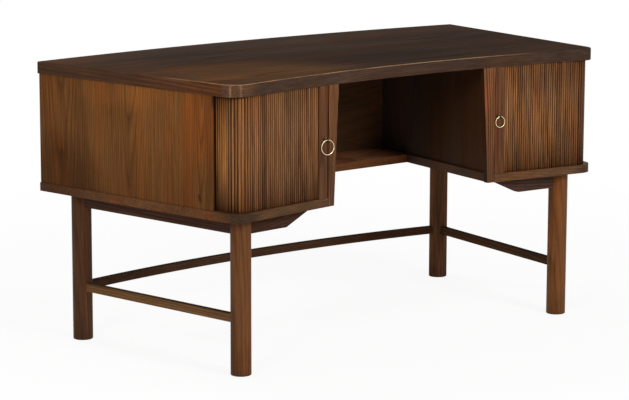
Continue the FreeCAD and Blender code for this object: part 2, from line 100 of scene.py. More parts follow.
# Dark, middle and light tone of each oak finish, as seen on screen, from 0 to 255
TONES = {
    "top": ((36, 25, 18), (55, 40, 30), (77, 57, 43)),
    "edging": ((39, 29, 23), (62, 47, 38), (88, 68, 55)),
    "end_edging": ((47, 33, 24), (77, 52, 36), (108, 76, 52)),
    "panel": ((64, 39, 19), (99, 63, 31), (132, 89, 47)),
    "kneehole": ((38, 24, 14), (62, 40, 24), (86, 58, 36)),
    "stile": ((40, 26, 17), (79, 53, 34), (122, 85, 56)),
    "right_lead_rail": ((44, 29, 18), (78, 50, 32), (106, 75, 49)),
    "left_lead_rail": ((40, 26, 16), (72, 45, 28), (100, 67, 42)),
    "modesty": ((40, 26, 16), (66, 43, 26), (88, 60, 38)),
    "board": ((54, 33, 18), (91, 58, 32), (126, 84, 48)),
    "ledge": ((52, 30, 15), (80, 47, 24), (104, 65, 35)),
    "inside": ((84, 56, 32), (124, 88, 54), (156, 116, 74)),
    "slats": ((62, 42, 27), (115, 78, 46), (160, 112, 67)),
    # The back legs' tones are darker than the front legs' as painted shade under the desk.
    "left_front_leg": ((56, 34, 20), (90, 57, 32), (118, 79, 48)),
    "left_back_leg": ((47, 32, 24), (77, 53, 37), (104, 74, 53)),
    "right_front_leg": ((62, 38, 21), (104, 66, 36), (140, 94, 54)),
    "right_back_leg": ((56, 38, 28), (92, 63, 45), (122, 88, 64)),
    "apron": ((35, 25, 21), (61, 44, 37), (87, 65, 54)),
    "back_stretcher": ((40, 27, 19), (63, 43, 31), (86, 60, 44)),
    "left_stretcher": ((62, 43, 27), (103, 74, 47), (136, 99, 63)),
    "right_stretcher": ((37, 25, 17), (59, 41, 28), (79, 57, 39)),
}

# How fast each part of the oak's figure changes along and across the grain, per metre
WAVER = (1.6, 7, 7)
WOBBLE = (3, 40, 40)
BROAD_STREAKS = (1.0, 8, 8)
NARROW_STREAKS = (5, 130, 130)
FIBRES = (14, 330, 330)
PORES = (50, 1300, 1300)
GLOW = (1.5, 12, 12)

# How far the grain and the edges of marks wander, in metres, and the rings, in ring widths
GRAIN_WANDER = 0.02
MARK_WANDER = 0.12
RING_WOBBLE = 0.8

# Late wood across one ring: how far through the ring, and how much of it
RING_PROFILE = ((0.0, 0.1), (0.12, 0.45), (0.4, 0.9), (0.88, 0.75), (1.0, 0.1))

# Strengths and means of those parts in the figure, and half the span that the tones cover
BROAD_SHARE = 0.45
FIBRE_SHARE = 0.3
GROWTH_MEAN = 0.65
NOISE_MEAN = 0.5
HALF_SPAN = 0.3


# Surfaces

def new_piece(name, points, faces, smooth=True):
    """A mesh object whose place is in its mesh."""
    mesh = bpy.data.meshes.new(name)
    mesh.from_pydata(np.asarray(points, float).reshape(-1, 3).tolist(), [], faces)
    mesh.validate()
    mesh.polygons.foreach_set("use_smooth", np.full(len(mesh.polygons), smooth))
    mesh.update()
    piece = bpy.data.objects.new(name, mesh)
    bpy.context.scene.collection.objects.link(piece)
    return piece


def mark_flat_ends(piece):
    """Keeps an upright piece's flat ends from shading as if they were round."""
    normals = np.empty(len(piece.data.polygons) * 3)
    piece.data.polygons.foreach_get("normal", normals)
    smooth = np.abs(normals.reshape(-1, 3)[:, Z]) < 0.5
    piece.data.polygons.foreach_set("use_smooth", smooth)


def grid_faces(rows, columns, closed_rows=False, closed_columns=False):
    """Four-cornered faces between neighbouring points of a grid, row by row."""
    r = np.arange(rows if closed_rows else rows - 1)[:, None]
    c = np.arange(columns if closed_columns else columns - 1)[None, :]
    r2, c2 = (r + 1) % rows, (c + 1) % columns
    quads = np.stack([r * columns + c, r * columns + c2, r2 * columns + c2, r2 * columns + c], -1)
    return quads.reshape(-1, 4)


def outward(faces, side):
    """Turns the faces of a left-hand piece, whose points mirror the right-hand ones."""
    return [face[::-1] for face in faces] if side < 0 else faces


def lathe(profile, centre, steps=64):
    """A turned shape: the profile's radius and height carried round an upright axis.

    Point (i, j) is centre + (r_i cos t_j, r_i sin t_j, z_i), with t_j going once round.
    """
    turn = np.linspace(0, 2 * np.pi, steps, endpoint=False)
    radius, height = np.asarray(profile, float).T
    points = np.empty((len(radius), steps, 3))
    points[..., X] = centre[X] + radius[:, None] * np.cos(turn)
    points[..., Y] = centre[Y] + radius[:, None] * np.sin(turn)
    points[..., Z] = height[:, None]
    quads = grid_faces(len(radius), steps, closed_columns=True)
    caps = [list(range(steps))[::-1], list(range((len(radius) - 1) * steps, len(radius) * steps))]
    return points, quads.tolist() + caps


def ring(centre, radius, wire, way, normal, steps=96, sides=20):
    """A round wire bent into a ring.

    Point (i, j) is centre + (R + w cos s_j)(a cos t_i + b sin t_i) + n w sin s_j, where a and b
    span the ring's plane, n is its normal, R its radius and w half the wire.
    """
    t = np.linspace(0, 2 * np.pi, steps, endpoint=False)[:, None, None]
    s = np.linspace(0, 2 * np.pi, sides, endpoint=False)[None, :, None]
    a, n = np.asarray(way, float), np.asarray(normal, float)
    b = np.cross(n, a)
    out = a * np.cos(t) + b * np.sin(t)
    half = wire / 2
    points = np.asarray(centre) + (radius + half * np.cos(s)) * out + n * half * np.sin(s)
    return points, grid_faces(steps, sides, True, True).tolist()


def face_path(run):
    """Places and headings on the right-hand tambour's face, for runs measured along its canvas.

    The path is straight, then an arc of the corner's radius, then straight along the end.
    """
    run = np.asarray(run, float)[:, None]
    canvas_radius = CORNER_RADIUS - CANVAS_OFFSET
    turn = np.clip((run - FRONT_RUN) / canvas_radius, 0, CORNER_TURN)
    beyond = np.maximum(run - FRONT_RUN - CORNER_TURN * canvas_radius, 0)
    centre = RUN_START + FACE_WAY * FRONT_RUN + FACE_IN * CORNER_RADIUS
    way = FACE_WAY * np.cos(turn) + FACE_IN * np.sin(turn)
    inward = FACE_IN * np.cos(turn) - FACE_WAY * np.sin(turn)
    place = centre - inward * CORNER_RADIUS
    place = place + way * beyond + FACE_WAY * np.minimum(run - FRONT_RUN, 0)
    return place, way, inward


def reeds(settings):
    """One slat's outline: two elliptic reeds in front, and a flat back.

    Across a reed, the depth is d (1 - sqrt(1 - s^2)), where s goes from -1 to 1. The dark of
    dirt and painted shade is 1 in the joint between two slats, less in the groove between its
    reeds, and 0 on their crowns.
    """
    reed_points, crown, slope = 13, 0.5, 0.4
    half = (settings.slat_pitch - settings.slat_gap) / 2
    s = np.sin(np.linspace(-math.pi / 2, math.pi / 2, reed_points))
    depth = settings.reed_depth * (1 - np.sqrt(np.clip(1 - s * s, 0, 1)))
    low = np.clip((np.abs(s) - crown) / slope, 0, 1)
    across = np.concatenate([s / 2 - 0.5, s[1:] / 2 + 0.5, [1, -1]]) * half
    inward = np.concatenate([depth, depth[1:], [settings.slat_thickness] * 2])
    share = np.where(s < 0, 1.0, settings.groove_grime_and_shade)
    grime_and_shade = np.concatenate([low * share, (low * share[::-1])[1:], [1, 1]])
    return across, inward, grime_and_shade


def slat_run(name, first, count, side, settings, seed, widen=1.0):
    """A row of slats: the slat's outline carried up, once at each place on the tambour's path.

    Slats on the corner are widened, so that they meet where the path turns. Each slat has its
    own tone, its own stretch of grain, and more or less dirt and painted shade in its joints and
    grooves: about a third have all of it.
    """
    across, inward, grime_and_shade = reeds(settings)
    across = across * widen
    run = SLATS_BEGIN + (first + np.arange(count) + 0.5) * settings.slat_pitch
    place, way, in_way = face_path(run)
    plan = place[:, None] + way[:, None] * across[:, None] + in_way[:, None] * inward[:, None]
    heights = np.array([BOARD_TOP, TOP_UNDERSIDE]) + np.array([1, -1]) * settings.slat_end_gap
    size = len(across)
    points = np.empty((count, 2, size, 3))
    points[..., :Z] = plan[:, None]
    points[..., X] *= side
    points[..., Z] = heights[None, :, None]
    walls = grid_faces(2, size, closed_columns=True)
    low = np.arange(size)
    faces = []
    for number in range(count):
        start = number * 2 * size
        faces += (walls + start).tolist()
        faces += [(low[::-1] + start).tolist(), (low + size + start).tolist()]
    piece = new_piece(name, points, outward(faces, side))
    mark_flat_ends(piece)
    draw = np.random.default_rng(seed)
    filthy = draw.random(count) < FILTHY_SHARE
    soil = np.where(filthy, 1.0, LEAST_GRIME + GRIME_RANGE * draw.random(count))
    values = {"slat_tone": np.repeat(draw.random(count), 2 * size),
              "slat_shift": np.repeat(draw.random(count) * GRAIN_APART, 2 * size),
              "slat_grime_and_shade": np.repeat(soil, 2 * size) * np.tile(grime_and_shade, 2 * count)}
    for key, value in values.items():
        piece.data.attributes.new(key, "FLOAT", "POINT").data.foreach_set("value", value)
    return piece


def canvas_sheet(name, side, settings):
    """The linen behind the straight slats: a thin flat plate that follows the face."""
    length = FRONT_SLATS * settings.slat_pitch
    ends = np.array([SLATS_BEGIN, SLATS_BEGIN + length])
    depth = CANVAS_OFFSET + np.array([0, settings.canvas_thickness])
    plan = RUN_START + FACE_WAY * ends[[0, 1, 1, 0], None] + FACE_IN * depth[[0, 0, 1, 1], None]
    points = np.empty((2, 4, 3))
    points[..., :Z] = plan
    points[..., X] *= side
    heights = [BOARD_TOP + settings.canvas_margin, TOP_UNDERSIDE - settings.canvas_margin]
    points[..., Z] = np.array(heights)[:, None]
    faces = grid_faces(2, 4, closed_columns=True).tolist() + [[3, 2, 1, 0], [4, 5, 6, 7]]
    return new_piece(name, points, outward(faces, side), smooth=False)


# Finishes

class Nodes:
    """A node tree, with short calls to add nodes and to join them."""

    def __init__(self, tree):
        self.tree = tree
        self.tree.nodes.clear()

    def node(self, kind, **values):
        """Adds a shader node, and sets its own options and its inputs by name."""
        made = self.tree.nodes.new("ShaderNode" + kind)
        for key, value in values.items():
            if hasattr(made, key):
                setattr(made, key, value)
            else:
                made.inputs[key.replace("_", " ")].default_value = value
        return made

    def join(self, source, target):
        self.tree.links.new(source, target)

    def fill(self, sockets, values):
        """Joins or sets each socket; a colour without alpha gets an alpha of 1."""
        for socket, value in zip(sockets, values):
            if isinstance(value, bpy.types.NodeSocket):
                self.join(value, socket)
            elif value is not None:
                short = socket.type == "RGBA" and len(value) == 3
                socket.default_value = (*value, 1.0) if short else value

    def maths(self, operation, first, second):
        made = self.node("Math", operation=operation)
        self.fill(made.inputs, (first, second))
        return made.outputs[0]

    def mapped(self, vector, scale=(1, 1, 1), rotation=(0, 0, 0), location=(0, 0, 0)):
        made = self.node("Mapping", Scale=scale, Rotation=rotation, Location=location)
        self.join(vector, made.inputs["Vector"])
        return made.outputs[0]

    def vector(self, operation, first, second=None):
        made = self.node("VectorMath", operation=operation)
        self.fill((made.inputs[0], made.inputs["Scale" if operation == "SCALE" else 1]),
                  (first, second))
        return made.outputs["Value" if operation == "LENGTH" else "Vector"]

    def parts(self, vector):
        """A vector's three numbers, as sockets."""
        made = self.node("SeparateXYZ")
        self.join(vector, made.inputs[0])
        return made.outputs

    def noise(self, vector, scale=1.0, detail=3.0, roughness=0.5, colour=False):
        made = self.node("TexNoise", Scale=scale, Detail=detail, Roughness=roughness)
        self.join(vector, made.inputs["Vector"])
        return made.outputs["Color" if colour else "Fac"]

    def spread(self, value, low, high, start=0.0, end=1.0):
        """Maps a value between low and high onto start to end, and no further."""
        made = self.node("MapRange", From_Min=low, From_Max=high, To_Min=start, To_Max=end)
        self.join(value, made.inputs["Value"])
        return made.outputs[0]

    def ramp(self, value, stops):
        made = self.node("ValToRGB")
        elements = made.color_ramp.elements
        while len(elements) < len(stops):
            elements.new(0.5)
        for element, (place, colour) in zip(elements, stops):
            element.position = place
            element.color = (*colour, 1.0)
        self.join(value, made.inputs[0])
        return made.outputs[0]

    def mix(self, first, second, share, blend="MIX"):
        made = self.node("Mix", data_type="RGBA", blend_type=blend)
        self.fill((made.inputs[0], made.inputs[6], made.inputs[7]), (share, first, second))
        return made.outputs[2]

    def attribute(self, name):
        return self.node("Attribute", attribute_name=name).outputs["Fac"]

    def background_rays(self):
        """1 for rays from the camera, off gloss and through glass, and 0 for those that light."""
        light = self.node("LightPath").outputs
        return self.maths("MAXIMUM", light["Is Camera Ray"],
                          self.maths("MAXIMUM", light["Is Glossy Ray"],
                                     light["Is Transmission Ray"]))

    def blended(self, share, first, second):
        """Mixes two shaders."""
        made = self.node("MixShader")
        self.fill(made.inputs, (share, first, second))
        return made.outputs[0]


class Shader(Nodes):
    """A material's node tree, round a principled shader."""

    def __init__(self, name):
        self.material = bpy.data.materials.new(name)
        self.material.use_nodes = True
        super().__init__(self.material.node_tree)
        self.out = self.node("OutputMaterial")
        self.base = self.node("BsdfPrincipled")
        self.join(self.base.outputs[0], self.out.inputs[0])
        self.place = self.node("TexCoord").outputs["Object"]

    def finish(self, **values):
        """Sets or joins inputs of the principled shader, by name."""
        for key, value in values.items():
            self.fill([self.base.inputs[key.replace("_", " ")]], [value])

    def bump(self, height, strength, distance):
        made = self.node("Bump", Strength=strength, Distance=distance)
        self.join(height, made.inputs["Height"])
        self.join(made.outputs[0], self.base.inputs["Normal"])


def linear(red, green, blue):
    """A colour as it is seen on screen, from 0 to 255, made ready for a shader."""
    seen = np.array([red, green, blue]) / 255
    return tuple(np.where(seen > 0.04045, ((seen + 0.055) / 1.055) ** 2.4, seen / 12.92).tolist())


def heading(way):
    """The Mapping turn that lays the grain's direction along X."""
    x, y, z = way
    return (0.0, math.radians(90), 0.0) if z else (0.0, 0.0, -math.atan2(y, x))


def growth_rings(s, bent, heart, tilt, leaf, ring_width):
    """Late wood, from 0.1 to 0.9, on cylinders round a slightly tilted line, the heart.

    The heart lies behind the face. A leaf repeats the rings across veneer of that width.
    """
    turn = math.radians(tilt)
    around = s.mapped(s.vector("SUBTRACT", bent, (0.0, *heart)), rotation=(0, turn, turn / 3))
    parts = s.parts(around)
    across = parts[Y]
    if leaf:
        wrap = s.node("Math", operation="WRAP")
        s.fill(wrap.inputs, (across, leaf / 2, -leaf / 2))
        across = wrap.outputs[0]
    flat = s.node("CombineXYZ")
    s.fill(flat.inputs, (0.0, across, parts[Z]))
    radius = s.vector("LENGTH", flat.outputs[0])
    wobble = s.noise(s.mapped(bent, scale=WOBBLE))
    growth = s.maths("ADD", s.maths("MULTIPLY", radius, 1 / ring_width),
                     s.maths("MULTIPLY", wobble, RING_WOBBLE))
    return s.ramp(s.maths("FRACT", growth, 0.0), [(at, (grey,) * 3) for at, grey in RING_PROFILE])


def oak(name, way, tones, heart=(0, 0), ring_width=0.008, tilt=2.0, leaf=0.0, figure=0.3,
        streaks=0.5, satin=0.45, gloss=0.06, coat=0.0, warmth=1.0, marks=(), own_grain=False):
    """Stained oak.

    Growth rings, broad, narrow and hair-fine streaks, and short dark pores run with the grain.
    The tones are those named in the table. Marks stain or wear the wood, or paint light and
    shade on it, in turn. With its own grain, each slat has the grain's stretch, the tone, and the
    dirt and painted shade in its joints and grooves, from its attributes.
    """
    s = Shader(name)
    grain = s.mapped(s.place, rotation=heading(way))
    if own_grain:
        moved = s.node("CombineXYZ")
        shift = s.attribute("slat_shift")
        s.fill(moved.inputs, (shift, shift))
        grain = s.vector("ADD", grain, moved.outputs[0])
    waver = s.noise(s.mapped(grain, scale=WAVER), detail=2.0, colour=True)
    waver = s.vector("SUBTRACT", waver, (0.5,) * 3)
    bent = s.vector("ADD", grain, s.vector("SCALE", waver, GRAIN_WANDER))
    late = growth_rings(s, bent, heart, tilt, leaf, ring_width)
    broad = s.noise(s.mapped(bent, scale=BROAD_STREAKS), detail=2.0)
    streak = s.noise(s.mapped(bent, scale=NARROW_STREAKS), detail=4.0, roughness=0.65)
    fibre = s.noise(s.mapped(grain, scale=FIBRES), roughness=0.6)
    pore = s.noise(s.mapped(grain, scale=PORES), detail=2.0, roughness=0.6)
    value = s.maths("MULTIPLY", late, figure)
    for part, share in ((broad, BROAD_SHARE), (streak, streaks), (fibre, FIBRE_SHARE)):
        value = s.maths("ADD", value, s.maths("MULTIPLY", part, share))
    middle = GROWTH_MEAN * figure + NOISE_MEAN * (BROAD_SHARE + streaks + FIBRE_SHARE)
    value = s.spread(value, middle - HALF_SPAN, middle + HALF_SPAN)
    stain = bpy.context.scene.desk_wood.stain
    stained = [np.multiply(linear(*tone), tuple(stain)).tolist() for tone in TONES[tones]]
    colour = s.ramp(value, list(zip((0.0, 0.5, 1.0), stained)))
    glow = s.noise(s.mapped(grain, scale=GLOW, location=(3, 1, 2)), detail=2.0)
    colour = s.mix(colour, (1.22, 0.95, 0.72), s.spread(glow, 0.45, 0.7, 0.0, warmth), "MULTIPLY")
    pores = s.spread(pore, 0.56, 0.72, 0.0, 0.5)
    colour = s.mix(colour, (0.35, 0.3, 0.28), pores, "MULTIPLY")
    if own_grain:
        shade = s.ramp(s.attribute("slat_tone"),
                       [(0.0, (0.80, 0.78, 0.79)), (0.35, (0.90, 0.89, 0.90)),
                        (0.7, (0.98, 0.94, 0.92)), (1.0, (1.04, 0.91, 0.84))])
        colour = s.mix(colour, shade, 1.0, "MULTIPLY")
        # Darkens the joints and grooves: dirt and painted shade.
        colour = s.mix(colour, (0.10, 0.07, 0.05), s.attribute("slat_grime_and_shade"), "MULTIPLY")
    soft = s.vector("ADD", s.place, s.vector("SCALE", waver, MARK_WANDER))
    for mark in marks:
        colour = mark(s, colour, soft)
    s.finish(Base_Color=colour, Roughness=s.spread(fibre, 0.3, 0.7, satin - 0.06, satin + 0.08),
             Specular_IOR_Level=gloss, Coat_Weight=coat, Coat_Roughness=0.25)
    relief = s.maths("SUBTRACT", s.maths("MULTIPLY", fibre, 0.5), pores)
    s.bump(relief, strength=0.25, distance=0.0004)
    return s.material


# Marks on the wood. Each is made by its sizes and tint, and then adds its nodes to a colour.

def patch(centre, size, tint, wander=True):
    """A tint with soft edges, wandering or not, in an ellipsoid, for stains, worn spots, painted
    shadows and painted highlights.
    """
    def add(s, colour, soft):
        away = s.vector("SUBTRACT", soft if wander else s.place, centre)
        away = s.vector("MULTIPLY", away, tuple(1 / length for length in size))
        return s.mix(colour, tint, s.spread(s.vector("LENGTH", away), 1.0, 0.45), "MULTIPLY")
    return add


def fade(axis, start, end, tint):
    """A tint that comes in along one axis, from start to end."""
    def add(s, colour, soft):
        return s.mix(colour, tint, s.spread(s.parts(soft)[axis], start, end), "MULTIPLY")
    return add


def facing(axis, sign, tint):
    """A tint on the faces that look one way along an axis."""
    def add(s, colour, soft):
        normal = s.parts(s.node("NewGeometry").outputs["Normal"])
        toward = s.maths("MULTIPLY", normal[axis], sign)
        return s.mix(colour, tint, s.spread(toward, 0.4, 0.7), "MULTIPLY")
    return add


def worn_and_lit_arris(height, bare_and_lit, axis, start, end):
    """Paler wood on a bevel just above a height, with breaks in it, fading out along one axis:
    partly wear where the stain is worn off, partly a painted highlight along the arris."""
    def add(s, colour, soft):
        parts = s.parts(s.place)
        breaks = s.noise(s.place, scale=9.0, detail=4.0, roughness=0.65)
        soft_edge, bevel_top, flat_top = height + 0.0005, height + 0.0016, height + 0.0017
        share = s.maths("MULTIPLY", s.spread(parts[Z], height, soft_edge),
                        s.spread(parts[Z], bevel_top, flat_top, 1.0, 0.25))
        share = s.maths("MULTIPLY", share, s.spread(breaks, 0.34, 0.56, 0.2, 1.0))
        share = s.maths("MULTIPLY", share, s.spread(parts[axis], start, end, 0.04, 1.0))
        return s.mix(colour, linear(*bare_and_lit), share)
    return add


def brass(name, dull, bright):
    """Old polished brass: warm metal with darker, duller tarnish in patches."""
    s = Shader(name)
    tarnish = s.noise(s.place, scale=160.0, detail=4.0)
    s.finish(Base_Color=s.ramp(tarnish, [(0.35, dull), (0.62, bright)]), Metallic=1.0,
             Roughness=s.spread(tarnish, 0.3, 0.7, 0.42, 0.2))
    s.bump(s.noise(s.place, scale=900.0, detail=2.0), strength=0.2, distance=0.0002)
    return s.material


def steel():
    """Dull turned steel, for the screws."""
    s = Shader("steel")
    turning = s.noise(s.place, scale=700.0)
    s.finish(Base_Color=s.ramp(turning, [(0.3, (0.25, 0.24, 0.23)), (0.7, (0.5, 0.48, 0.46))]),
             Metallic=1.0, Roughness=0.45)
    return s.material


def linen():
    """Plain-woven linen: crossing warp and weft threads a millimetre apart."""
    s = Shader("linen")
    place = s.mapped(s.place, rotation=heading((*FACE_WAY, 0)))
    threads = [s.node("TexWave", bands_direction=way, Scale=300.0, Distortion=0.6)
               for way in ("X", "Z")]
    for thread in threads:
        s.join(place, thread.inputs["Vector"])
    weave = s.maths("MAXIMUM", *(thread.outputs["Fac"] for thread in threads))
    s.finish(Base_Color=s.ramp(weave, [(0.2, linear(70, 58, 40)), (1.0, linear(128, 110, 80))]),
             Roughness=0.95)
    s.bump(weave, strength=0.5, distance=0.0004)
    return s.material


def dress(material, *names):
    """Gives CAD nodes a finish through their own material slots."""
    for name in names:
        mesh = nodes[name].data
        mesh.materials.clear()
        mesh.materials.append(material)


def sided(*names):
    """The names of left-hand and right-hand nodes."""
    return [side + "_" + name for side in SIDES for name in names]


# Settings

class DeskWood(bpy.types.PropertyGroup):
    """Stain, gloss and growth of the oak."""
    stain: bpy.props.FloatVectorProperty(
        name="Stain", description="Tint over all the stained oak", size=3,
        default=(1.0, 1.0, 1.0), min=0.0, max=4.0, subtype="COLOR")
    top_roughness: bpy.props.FloatProperty(
        name="Top roughness", description="How dull the top's varnish is", default=0.5,
        min=0.05, max=1.0)
    panel_roughness: bpy.props.FloatProperty(
        name="Panel roughness", description="How dull the panels' varnish is", default=0.55,
        min=0.05, max=1.0)
    ring_width: bpy.props.FloatProperty(
        name="Growth ring", description="Width of one growth ring", default=0.008,
        unit="LENGTH")


class DeskTambour(bpy.types.PropertyGroup):
    """Sizes of the slats and of the canvas behind them."""
    slat_pitch: bpy.props.FloatProperty(
        name="Slat pitch", description="Distance from slat to slat", default=0.015,
        unit="LENGTH")
    slat_gap: bpy.props.FloatProperty(
        name="Slat gap", description="Gap between two slats", default=0.0004, unit="LENGTH")
    slat_thickness: bpy.props.FloatProperty(
        name="Slat thickness", description="Thickness of a slat", default=0.006, unit="LENGTH")
    slat_end_gap: bpy.props.FloatProperty(
        name="End gap", description="Gap above and below a slat", default=0.0005,
        unit="LENGTH")
    # Dirt and painted shade in the groove between two reeds, against that in a joint.
    groove_grime_and_shade: bpy.props.FloatProperty(
        name="Grime in grooves", description="Grime between two reeds, against that in a joint",
        default=0.95, min=0.0, max=1.0)
    reed_depth: bpy.props.FloatProperty(
        name="Reed depth", description="Depth of the groove between two reeds",
        default=0.0018, unit="LENGTH")
    canvas_thickness: bpy.props.FloatProperty(
        name="Canvas thickness", description="Thickness of the linen", default=0.0008,
        unit="LENGTH")
    canvas_margin: bpy.props.FloatProperty(
        name="Canvas margin", description="Gap above and below the linen", default=0.008,
        unit="LENGTH")


class DeskPulls(bpy.types.PropertyGroup):
    """Wire and colours of the brass ring pulls."""
    wire: bpy.props.FloatProperty(
        name="Wire", description="Thickness of a ring's wire", default=0.0020, unit="LENGTH")
    dull: bpy.props.FloatVectorProperty(
        name="Tarnish", description="Colour of the dull brass", size=3,
        default=linear(68, 48, 32), min=0.0, max=1.0, subtype="COLOR")
    bright: bpy.props.FloatVectorProperty(
        name="Brass", description="Colour of the bright brass", size=3,
        default=linear(118, 90, 64), min=0.0, max=1.0, subtype="COLOR")


class DeskStage(bpy.types.PropertyGroup):
    """The camera and the lamps."""
    camera_place: bpy.props.FloatVectorProperty(
        name="Camera", description="Where the camera stands", size=3,
        default=(-4.39595, -5.22338, 1.57403), subtype="XYZ", unit="LENGTH")
    heading: bpy.props.FloatProperty(
        name="Heading", description="Camera's turn to the right of +Y",
        default=math.radians(39.6776), subtype="ANGLE")
    tilt: bpy.props.FloatProperty(
        name="Tilt", description="Camera's tilt above the horizon",
        default=math.radians(-10.1861), subtype="ANGLE")
    roll: bpy.props.FloatProperty(
        name="Roll", description="Camera's roll", default=math.radians(0.1405),
        subtype="ANGLE")
    lens: bpy.props.FloatProperty(
        name="Lens", description="Focal length on a 36 mm sensor, in millimetres",
        default=142.23, min=10.0)
    key_power: bpy.props.FloatProperty(
        name="Key light", description="Power of the front lamp", default=200.0,
        unit="POWER")
    fill_power: bpy.props.FloatProperty(
        name="Fill light", description="Power of the lamp at the left", default=90.0,
        unit="POWER")
    back_power: bpy.props.FloatProperty(
        name="Back light", description="Power of the lamp behind the desk", default=110.0,
        unit="POWER")
    sky: bpy.props.FloatProperty(
        name="Sky", description="Strength of the light from all round", default=0.38)


# Operators

class DESK_OT_top(bpy.types.Operator):
    """Finishes the top and its solid edging"""
    bl_idname = "desk.top"
    bl_label = "Finish the top"

    def execute(self, context):
        wood = context.scene.desk_wood
        # Lighter and warmer at the left front, lighter at the left end and darker in the middle;
        # towards the back the top is painted paler and bluer, a painted reflection.
        golden = patch((-0.43, -0.24, 0.76), (0.32, 0.26, 0.4), (2.1, 1.75, 1.05))
        pale_end = patch((-0.70, 0.10, 0.76), (0.28, 0.42, 0.4), (1.45, 1.28, 1.03))
        dark_middle = patch((0.02, -0.15, 0.76), (0.30, 0.16, 0.3), (0.74, 0.74, 0.78))
        painted_back_reflection = fade(Y, 0.0, 0.4, (1.5, 1.72, 2.1))
        dress(oak("oak_top", ALONG, "top", heart=(0.1, 0.65), ring_width=wood.ring_width,
                  tilt=0.8, leaf=0.36, satin=wood.top_roughness, gloss=0.0, coat=0.03,
                  marks=(golden, pale_end, dark_middle, painted_back_reflection)), "top_panel")
        # The arris colour is partly worn wood, partly a painted highlight.
        bevel, bare_and_lit = 0.7603, (150, 112, 80)
        matt = {"satin": 0.4, "gloss": 0.0, "coat": 0.02}
        glint_size = (0.004, 0.004, 0.05)
        marks = (patch((-0.62, -0.36, 0.745), (0.07, 0.07, 0.2), (1.6, 1.35, 1.1), False),
                 # Two painted highlights: thin glints on the rounded corner of the top's front
                 # edging.
                 patch((-0.6410, -0.3668, 0.745), glint_size, (2.0, 2.3, 2.5), False),
                 patch((-0.6187, -0.3821, 0.745), glint_size, (1.5, 1.7, 1.9), False),
                 fade(X, -0.1, 0.2, (0.82, 0.87, 0.95)),
                 worn_and_lit_arris(bevel, bare_and_lit, X, 0.45, 0.25))
        dress(oak("oak_front_edging", ALONG, "edging", heart=(0.0, 0.2), ring_width=0.005,
                  figure=0.2, marks=marks, **matt), "top_front_lipping", "top_back_lipping")
        for side, sign in SIDES.items():
            marks = (fade(Y, -0.15, 0.3, (0.94, 1.0, 1.12)),
                     worn_and_lit_arris(bevel, bare_and_lit, Y, -0.10, -0.24))
            dress(oak("oak_end_edging_" + side, (0.143 * sign, 0.99, 0), "end_edging",
                      heart=(0.1, 0.45), ring_width=0.005, tilt=3, figure=0.22, marks=marks,
                      **matt), side + "_top_end_lipping")
        return {"FINISHED"}


